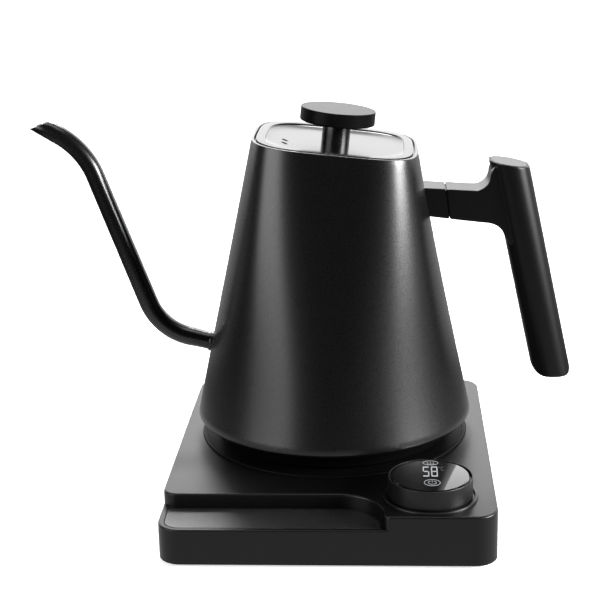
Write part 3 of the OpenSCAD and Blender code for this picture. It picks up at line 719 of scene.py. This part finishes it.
def wall_x(u):
    """Sideways place of the body's middle at height fraction u."""
    return MOUTH_X * u - DRIFT * u * (1 - u)


def wall_ring(u, d):
    """The body's outline at height fraction u, moved inward by d."""
    a = wall_a(u)
    b = a * (1 + (MOUTH_LONG - 1) * u * u)
    n = 2 + (MOUTH_N - 2) * u * u
    drop = SLOPE * u ** TILT_POWER
    outline = squarish(a - d, b - d, n, SEGMENTS)
    return [(x + wall_x(u), y, WALL_Z + WALL_H * u - drop * x) for x, y in outline]


def mouth_ring(d, h):
    """A ring near the slanted mouth, inward by d and up by h."""
    outline = squarish(MOUTH_A - d, MOUTH_A * MOUTH_LONG - d, MOUTH_N, SEGMENTS)
    return [(x + MOUTH_X, y, MOUTH_Z + h - SLOPE * x) for x, y in outline]


def round_ring(r, z):
    """A level circle with the same number of points as the body's rings."""
    return lift(circle(r, SEGMENTS), z)


def foot_ring(r, angle):
    """A ring on the foot's rounding, which has radius r here. 90 degrees is its widest place."""
    t = math.radians(angle)
    return round_ring(FOOT_R - FOOT_ROUND + r * math.sin(t), WALL_Z - r * math.cos(t))


def rim_rings():
    """The rolled rim, from the wall over the top to the inside."""
    rings = []
    for k in range(4):
        t = math.radians(90 * k / 4)
        rings.append(mouth_ring(RIM_OUTER - RIM_OUTER * math.cos(t), -RIM_OUTER + RIM_OUTER * math.sin(t)))
    rings.append(mouth_ring(RIM_OUTER, 0))
    for k in range(5):
        t = math.radians(90 * k / 4)
        rings.append(mouth_ring(RIM_WIDTH - RIM_INNER + RIM_INNER * math.sin(t),
                                -RIM_INNER + RIM_INNER * math.cos(t)))
    return rings


def make_body():
    """The drawn steel wall with its rolled rim and rounded foot."""
    shape = Shape()
    rings = [round_ring(FOOT_BORE, FOOT_Z), round_ring(FOOT_BORE + 2, FOOT_Z)]
    rings += [foot_ring(FOOT_ROUND, 15 + 75 * k / 6) for k in range(6)]
    rings += [wall_ring(k / OUTER_STEPS, 0) for k in range(OUTER_STEPS)]
    rings += rim_rings()
    rings += [mouth_ring(d, h) for d, h in LEDGE]
    outside = shape.loft(rings, mark=0)
    rings = [mouth_ring(d, h) for d, h in LEDGE_UNDER]
    rings += [wall_ring(1 - k / INNER_STEPS, WALL) for k in range(2, INNER_STEPS + 1)]
    rings += [foot_ring(FOOT_ROUND - WALL, 90 - 75 * k / 4) for k in range(1, 5)]
    rings += [round_ring(FOOT_BORE + 1.8, FOOT_Z + WALL), round_ring(FOOT_BORE, FOOT_Z + WALL)]
    inside = shape.loft(rings, mark=1)
    shape.band(outside[-1], inside[0], 0)
    shape.band(inside[-1], outside[0], 1)
    add_piece("kettle_wall", shape, "pot", "kettle_body", [paint, steel], weighted=False)


make_body()


# ---- spout ------------------------------------------------------------------

# The spout's centre line in the plane y = 0: two corners, the radii of their bends and three directions.
CORNER_1 = Vector((-92.7, 82.5))
CORNER_2 = Vector((-127.7, 180.8))
BEND_1 = 30.0
BEND_2 = 41.0
ANGLE_1 = 166.3
ANGLE_2 = 90 + math.degrees(math.atan((CORNER_1.x - CORNER_2.x) / (CORNER_2.y - CORNER_1.y)))
ANGLE_3 = 150.2

# The tube: a straight stub that widens along NECK, a long run that narrows, and a slanted tip.
STUB = 15.6
NECK = 6.6
NECK_R = 4.8
TUBE_R = 5.1
TUBE_R_TOP = 4.9
TUBE_WALL = 0.9
TIP_STEP = 2.0
TIP_TAPER = 0.0625
TIP_SLOPE = 19.7
TIP_POINT = Vector((-149.4, 193.95))

# Rings of the pouring edge: (radius, distance behind the slanted cut).
TIP_OUTSIDE = [(4.45, 0.35), (4.33, 0.08), (4.15, 0.0)]
TIP_INSIDE = [(3.75, 0.0), (3.55, 0.15), (3.5, 0.4)]

# Half section of the ring at the wall: (distance along the tube, radius).
WELD = [(2.0, 5.35), (3.6, 5.35), (4.1, 5.3), (4.4, 5.1), (4.5, 4.85), (2.0, 4.82)]


def heading(a):
    """Unit vector at angle a, in the plane of the spout."""
    return Vector((math.cos(math.radians(a)), math.sin(math.radians(a))))


def bend(centre, radius, a0, a1, side, r):
    """Points round a bend. side is the angle from the tube's direction to the line out from the centre."""
    steps = 16
    turns = [a0 + (a1 - a0) * k / steps for k in range(steps + 1)]
    return [(centre + heading(a + side) * radius, a, r) for a in turns]


def spout_line():
    """Points along the spout: place, angle and outside radius."""
    reach_1 = BEND_1 * math.tan(math.radians(ANGLE_1 - ANGLE_2) / 2)
    reach_2 = BEND_2 * math.tan(math.radians(ANGLE_3 - ANGLE_2) / 2)
    in_1 = CORNER_1 - heading(ANGLE_1) * reach_1
    out_1 = CORNER_1 + heading(ANGLE_2) * reach_1
    in_2 = CORNER_2 - heading(ANGLE_2) * reach_2
    out_2 = CORNER_2 + heading(ANGLE_3) * reach_2
    line = []
    for k in range(8):
        s = STUB * (1 - k / 8)
        line.append((in_1 - heading(ANGLE_1) * s, ANGLE_1, NECK_R + (TUBE_R - NECK_R) * max(0, 1 - s / NECK)))
    line += bend(in_1 + heading(ANGLE_1 - 90) * BEND_1, BEND_1, ANGLE_1, ANGLE_2, 90, TUBE_R)
    run = (in_2 - out_1).length
    for k in range(1, 12):
        part = k / 12
        line.append((out_1 + heading(ANGLE_2) * run * part, ANGLE_2, TUBE_R - (TUBE_R - TUBE_R_TOP) * part))
    line += bend(in_2 + heading(ANGLE_2 + 90) * BEND_2, BEND_2, ANGLE_2, ANGLE_3, -90, TUBE_R_TOP)
    for k in range(1, 4):
        line.append((out_2 + heading(ANGLE_3) * TIP_STEP * k, ANGLE_3, TUBE_R_TOP - TIP_TAPER * k))
    return line


def tube_ring(p, a, r, count=48):
    """A circle of radius r round the spout's path at p."""
    across = heading(a + 90)
    out = []
    for i in range(count):
        t = 2 * math.pi * i / count
        c = r * math.cos(t)
        out.append((p.x + across.x * c, r * math.sin(t), p.y + across.y * c))
    return out


def slanted(p, r, back):
    """The tip's ring: a straight tube cut by the slanted plane, held back by a small distance."""
    along = heading(ANGLE_3)
    flat = heading(90 + TIP_SLOPE)
    ring = []
    for x, y, z in tube_ring(p, ANGLE_3, r):
        v = Vector((x, z))
        reach = (TIP_POINT - v).dot(flat) / along.dot(flat) - back
        ring.append((x + along.x * reach, y, z + along.y * reach))
    return ring


def make_spout():
    """The bent tube with its wall thickness and slanted pouring edge."""
    shape = Shape()
    line = spout_line()
    tip = line[-1][0]
    rings = [tube_ring(p, a, r) for p, a, r in line]
    rings += [slanted(tip, r, back) for r, back in TIP_OUTSIDE]
    outside = shape.loft(rings, mark=0)
    rings = [slanted(tip, r, back) for r, back in TIP_INSIDE]
    rings += [tube_ring(p, a, r - TUBE_WALL) for p, a, r in reversed(line)]
    inside = shape.loft(rings, mark=1)
    shape.band(outside[-1], inside[0], 0)
    shape.band(inside[-1], outside[0], 1)
    add_piece("spout_tube", shape, "pot", "spout", [spout_paint, steel], weighted=False)


def make_spout_collar():
    """A slim raised weld ring where the tube meets the wall."""
    start = spout_line()[0][0]
    shape = Shape()
    shape.loop([tube_ring(start + heading(ANGLE_1) * s, ANGLE_1, r) for s, r in WELD])
    add_piece("spout_weld_ring", shape, "pot", "spout_collar", [spout_paint])


make_spout()
make_spout_collar()


# ---- handle -----------------------------------------------------------------

# The grip leans outward by LEAN degrees. Its middle is at GRIP_MID in the plane y = 0.
LEAN = 12.1
GRIP_OUT = heading(LEAN)
GRIP_UP = heading(90 + LEAN)
GRIP_MID = Vector((105.2, 108.6))
GRIP_T = 19.6
GRIP_D = 25.0
GRIP_FOOT = 58.6
GRIP_STEPS = 32
ARM_D = 20.0
CAP_AT = Vector((81.9, 173.4))
CAP_TILT = math.radians(9.6)
CAP_SINK = 1.3
POCKET = 2.0
CAP_GAP = 2.3
VOXEL = 0.45

# Sections of the bracket: (x, how far each side is drawn in). It has a neck at its outer end.
BRACKET = [(42.0, 0), (46.0, 0), (52.0, 0), (58.7, 0), (59.05, 0.15), (59.2, 0.5), (59.22, 0.9), (59.6, 0.9)]
BRACKET_LEAN = 1.9
BRACKET_R = 0.9


def arm_top(x):
    """Height of the arm's upper edge."""
    return 160.2 - 0.062 * (x - 49)


def arm_bottom(x):
    """Height of the arm's lower edge."""
    return 145.1 - 0.121 * (x - 51.2)


def stadium(t, d):
    """A rounded bar section: t wide and d deep, anticlockwise."""
    r = t / 2
    s = d / 2 - r
    return arc(0, s, r, 0, 180, GRIP_STEPS) + arc(0, -s, r, 180, 360, GRIP_STEPS)


def grip_section(pts, along):
    """Puts a section square to the grip's axis at a distance along it."""
    at = GRIP_MID + GRIP_UP * along
    return [(at.x + GRIP_OUT.x * x, y, at.y + GRIP_OUT.y * x) for x, y in pts]


def cap_section(smaller, h):
    """Where the sides of a slimmer grip meet the slanted top plane, h above it."""
    flat = Vector((math.sin(CAP_TILT), math.cos(CAP_TILT)))
    ring = []
    for x, y in stadium(GRIP_T - smaller, GRIP_D - smaller):
        v = GRIP_MID + GRIP_OUT * x
        reach = ((CAP_AT - v).dot(flat) + h) / GRIP_UP.dot(flat)
        ring.append((v.x + GRIP_UP.x * reach, y, v.y + GRIP_UP.y * reach))
    return ring


def apply_all(obj):
    """Bakes an object's modifiers into its mesh."""
    graph = bpy.context.evaluated_depsgraph_get()
    done = bpy.data.meshes.new_from_object(obj.evaluated_get(graph))
    obj.modifiers.clear()
    old = obj.data
    obj.data = done
    bpy.data.meshes.remove(old)


def boolean(obj, shape, operation):
    """Combines a closed mesh with a shape."""
    other = add_object("tool", solid_mesh("tool", shape))
    step = obj.modifiers.new(operation, "BOOLEAN")
    step.operation = operation
    step.solver = "EXACT"
    step.object = other
    apply_all(obj)
    bpy.data.objects.remove(other)


def block(rings):
    """A closed shape through a list of rings."""
    shape = Shape()
    shape.solid(rings)
    return shape


def slab_xz(profile, depth):
    """A closed slab: a profile in the XZ plane, centred on y = 0."""
    return block([[(x, y, z) for x, z in profile] for y in (-depth / 2, depth / 2)])


def grip_silhouette():
    """The side view that trims the foot of the grip: level end, large inner and small outer corner."""
    half = GRIP_T / 2
    left = GRIP_MID - GRIP_OUT * half
    right = GRIP_MID + GRIP_OUT * half
    foot_l = left.x + GRIP_UP.x * (GRIP_FOOT - left.y) / GRIP_UP.y
    foot_r = right.x + GRIP_UP.x * (GRIP_FOOT - right.y) / GRIP_UP.y
    top_l = left + GRIP_UP * 80
    top_r = right + GRIP_UP * 80
    pts = [(foot_l, GRIP_FOOT, 8.0), (foot_r, GRIP_FOOT, 3.4),
           (top_r.x + 1, top_r.y, 0), (top_l.x - 1, top_l.y, 0)]
    return fillet(pts, 12)


def arm_silhouette():
    """The side view of the arm: under the thumb rest, up to the grip's top, and back in a wide curve."""
    profile = [(59.5, arm_top(59.5)), (74.2, 158.6)]
    profile += arc(74.2, 166.2, 7.6, 276, 360, 16)
    profile += [(82.3, 168.2), (83.6, 170.2), (86.0, 171.4), (92, 168), (100, 140), (95, 128)]
    profile += arc(80.6, 132.5, 9, 12.4, 83.1, 16)
    profile += [(61.4, arm_bottom(61.4))]
    return profile


def make_grip():
    """Arm, thumb rest and grip in one moulding, with soft edges and a pocket for the top plate."""
    section = stadium(GRIP_T, GRIP_D)
    bar = block([grip_section(section, -60 + 12 * k) for k in range(10)] + [cap_section(0, 0)])
    grip = add_object("grip_moulding", solid_mesh("grip_moulding", bar))
    boolean(grip, slab_xz(grip_silhouette(), GRIP_D + 10), "INTERSECT")
    boolean(grip, slab_xz(arm_silhouette(), ARM_D), "UNION")
    boolean(grip, block([cap_section(POCKET, -CAP_SINK), cap_section(POCKET, 3.0)]), "DIFFERENCE")
    even = grip.modifiers.new("voxels", "REMESH")
    even.mode = "VOXEL"
    even.voxel_size = VOXEL * MM
    soft = grip.modifiers.new("soft_edges", "SMOOTH")
    soft.factor = 0.5
    soft.iterations = 6
    apply_all(grip)
    mesh = grip.data
    mesh.materials.clear()
    mesh.materials.append(handle_plastic)
    mesh.polygons.foreach_set("material_index", [0] * len(mesh.polygons))
    smooth(mesh)
    hand_over(grip, "pot", "handle_grip")


def make_cap():
    """The inlaid plate on top of the grip."""
    rings = [cap_section(CAP_GAP, -CAP_SINK)]
    rings += [cap_section(CAP_GAP + 2 * side, -drop) for side, drop in quarter(0.35)]
    add_piece("grip_top_plate", block(rings), "pot", "handle_top_cap", [handle_plastic])


def make_bracket():
    """The short block between the kettle wall and the handle arm, with rounded long edges."""
    rings = []
    for x, shrink in BRACKET:
        half = ARM_D / 2 - 0.3 - shrink
        top = arm_top(x) - shrink
        foot = arm_bottom(x + BRACKET_LEAN) + shrink
        corners = [(-half, foot, BRACKET_R), (half, foot, BRACKET_R), (half, top, BRACKET_R),
                   (-half, top, BRACKET_R)]
        tall = top - foot
        rings.append([(x + BRACKET_LEAN * (top - z) / tall, y, z) for y, z in fillet(corners)])
    add_piece("handle_mount", block(rings), "pot", "handle_bracket", [handle_plastic])


make_grip()
make_cap()
make_bracket()


# ---- lid --------------------------------------------------------------------

LID = Matrix.Translation((MOUTH_X, 0, MOUTH_Z)) @ Matrix.Rotation(TILT, 4, "Y")
VENTS = [(-25.4, -8.5), (-25.1, -16.8)]
VENT_TURN = -61.0
DISH_FLOOR = -1.2
PAN_UNDER = -3.4
BORE_R = 2.1
STEM_R = 7.2
DISC_LOW = 9.2
DISC_R = 19.2
DISC_TOP = 16.3
DISC_BORE_R = 2.05
DISC_BORE_TOP = 14.0
LID_EDGE = 2.3
LID_TOP = 0.3
LID_ROUND = 0.245

# Steps of the lid plate: (inward distance from the mouth's outline, height).
# First the underside, then the dish.
LID_UNDER = [(5.4, PAN_UNDER), (5.4, -2.35), (5.3, -2.3), (LID_EDGE, -2.3), (LID_EDGE, 0.05)]
LID_DISH = [(3.6, LID_TOP), (6.3, LID_TOP), (6.6, 0.27), (6.8, 0.16), (6.95, -0.05), (7.05, -0.3),
            (7.25, -0.48), (7.6, -0.64), (8.3, -0.83), (9.3, -0.99), (10.6, -1.11), (12.2, -1.18),
            (14.0, DISH_FLOOR)]


def lid_outline(d):
    """The lid's outline in its own slanted plane, moved inward by d."""
    return squarish((MOUTH_A - d) / math.cos(TILT), MOUTH_A * MOUTH_LONG - d, MOUTH_N, 160)


def slot_outline(x, y, length, half):
    """A slanted vent slot with round ends, its middle at (x, y), anticlockwise."""
    reach = heading(VENT_TURN) * (length / 2 - half)
    return (arc(x + reach.x, y + reach.y, half, VENT_TURN - 90, VENT_TURN + 90, 8)
            + arc(x - reach.x, y - reach.y, half, VENT_TURN + 90, VENT_TURN + 270, 8))


def make_lid():
    """The lid plate with its flat border, shallow dish, two vent slots and the hole for the screw."""
    shape = Shape(LID)
    edge = [(LID_EDGE + side, LID_TOP - drop) for side, drop in quarter(LID_ROUND)]
    made = shape.loft([lift(lid_outline(d), h) for d, h in LID_UNDER + edge + LID_DISH])
    holes = []
    for x, y in VENTS:
        wide = slot_outline(x, y, 6.4, 0.87)
        slot = slot_outline(x, y, 6.2, 0.75)
        holes.append(shape.loft([lift(wide, DISH_FLOOR), lift(slot, -1.32), lift(slot, PAN_UNDER)]))
    bore = circle(BORE_R, 32)
    holes.append(shape.loft([lift(bore, DISH_FLOOR), lift(bore, PAN_UNDER)]))
    shape.cap(made[-1], [hole[0] for hole in holes])
    shape.cap(made[0], [hole[-1] for hole in holes])
    add_piece("lid_plate", shape, "lid", "lid_pan", [lid_paint])


make_lid()
turned("lid_stem_post",
       [(BORE_R, DISH_FLOOR, 0), (STEM_R, DISH_FLOOR, 0), (STEM_R, DISC_LOW, 0), (BORE_R, DISC_LOW, 0)],
       LID, "lid", "lid_stem", spout_paint)
turned("lid_knob_disc",
       [(DISC_BORE_R, DISC_LOW, 0), (DISC_R, DISC_LOW, 0.8), (DISC_R, DISC_TOP, 0.35), (0, DISC_TOP, 0),
        (0, DISC_BORE_TOP, 0), (DISC_BORE_R, DISC_BORE_TOP, 0)],
       LID, "lid", "lid_knob", disc_paint, count=128, steps=6)


# ---- stage: floor, lights and world -----------------------------------------

FLOOR_HALF = 9.0
FLOOR_GLOW = 0.6

# What the floor sends up to the object: bright round it, faint further out, and a strip behind it.
NEAR_AT = (0.0, -0.12, 0.0)
NEAR_R = 0.18
FAR_R = 0.38
NEAR_LIGHT = 0.84
FAR_LIGHT = 0.03
BEHIND_FROM = 0.14
BEHIND_FULL = 0.34
BEHIND_LIGHT = 0.4

# Soft boxes: name, place, aim, width, height, power.
SOFT_BOXES = [
    ("left_soft_box", (-1.06, -0.81, 0.50), (0, 0, 0.12), 1.0, 0.9, 16.0),
    ("right_soft_box", (1.30, -0.42, 0.50), (0, 0, 0.14), 0.66, 0.5, 70.0),
    ("top_soft_box", (0.0, -0.1, 1.6), (0, 0, 0.1), 1.0, 0.6, 7.0),
    ("back_soft_box", (-0.06, 0.85, 1.05), (0, 0, 0.1), 0.3, 0.3, 17.0),
]

# The world by direction: it starts and is full at these Y values, and fades between these Z values.
SKY_FROM = 0.3
SKY_FULL = 0.75
FADE_FROM = 0.5
FADE_FULL = 0.95
FADED = 0.3
SKY_LIGHT = 2.9
ROOM_LIGHT = 0.004
BACKDROP = 0.97


def make_floor():
    """A plain white floor. The object gets its own pattern of light from it."""
    mesh = bpy.data.meshes.new("floor")
    corners = [(-1, -1), (1, -1), (1, 1), (-1, 1)]
    mesh.from_pydata([(x * FLOOR_HALF, y * FLOOR_HALF, 0) for x, y in corners], [], [(0, 1, 2, 3)])
    floor = add_object("floor", mesh)
    material, tree = new_material("floor_white")
    shown = tree.nodes["Principled BSDF"]
    plug(tree, shown, {
        "Base Color": scaled(grey(0.8), 1), "Roughness": 0.9, "Specular IOR Level": 0.1,
        "Emission Color": scaled(grey(1), 1), "Emission Strength": FLOOR_GLOW})
    place = add_node(tree, "TexCoord").outputs["Object"]
    away = add_node(tree, "VectorMath", {0: place, 1: NEAR_AT}, operation="DISTANCE").outputs["Value"]
    near = ramp(tree, away, NEAR_R, FAR_R, NEAR_LIGHT, FAR_LIGHT, "SMOOTHSTEP")
    depth = add_node(tree, "SeparateXYZ", {"Vector": place}).outputs["Y"]
    behind = ramp(tree, depth, BEHIND_FROM, BEHIND_FULL, 0.0, BEHIND_LIGHT, "SMOOTHSTEP")
    quiet = add_node(tree, "Emission", {"Strength": calculate(tree, "ADD", near, behind)})
    by_camera = add_node(tree, "LightPath").outputs["Is Camera Ray"]
    mix = add_node(tree, "MixShader", {0: by_camera, 1: quiet.outputs["Emission"], 2: shown.outputs["BSDF"]})
    plug(tree, tree.nodes["Material Output"], {"Surface": mix.outputs["Shader"]})
    mesh.materials.append(material)


def area_light(name, place, aim, width, height, power):
    """A soft box that isn't seen by the camera itself."""
    data = bpy.data.lights.new(name, "AREA")
    data.shape = "RECTANGLE"
    data.size = width
    data.size_y = height
    data.energy = power
    lamp = add_object(name, data)
    lamp.location = place
    lamp.rotation_mode = "QUATERNION"
    lamp.rotation_quaternion = (Vector(aim) - Vector(place)).to_track_quat("-Z", "Y")
    lamp.visible_camera = False


def make_world():
    """A studio that is bright behind the object and dark in front of it."""
    world = bpy.data.worlds.new("studio")
    scene.world = world
    world.use_nodes = True
    tree = world.node_tree
    way = add_node(tree, "TexCoord").outputs["Generated"]
    split = add_node(tree, "SeparateXYZ", {"Vector": way})
    behind = ramp(tree, split.outputs["Y"], SKY_FROM, SKY_FULL, 0.0, 1.0, "SMOOTHSTEP")
    low_part = ramp(tree, split.outputs["Z"], FADE_FROM, FADE_FULL, 1.0, FADED, "SMOOTHSTEP")
    sky = calculate(tree, "MULTIPLY", calculate(tree, "MULTIPLY", behind, low_part), SKY_LIGHT)
    light = calculate(tree, "ADD", sky, ROOM_LIGHT)
    by_camera = add_node(tree, "LightPath").outputs["Is Camera Ray"]
    seen = add_node(tree, "Mix", {"Factor": by_camera, "A": light, "B": BACKDROP}, data_type="FLOAT")
    plug(tree, tree.nodes["Background"], {"Color": scaled(grey(1), 1), "Strength": seen.outputs["Result"]})


make_floor()
for soft_box in SOFT_BOXES:
    area_light(*soft_box)
make_world()
scene.view_settings.view_transform = "Standard"
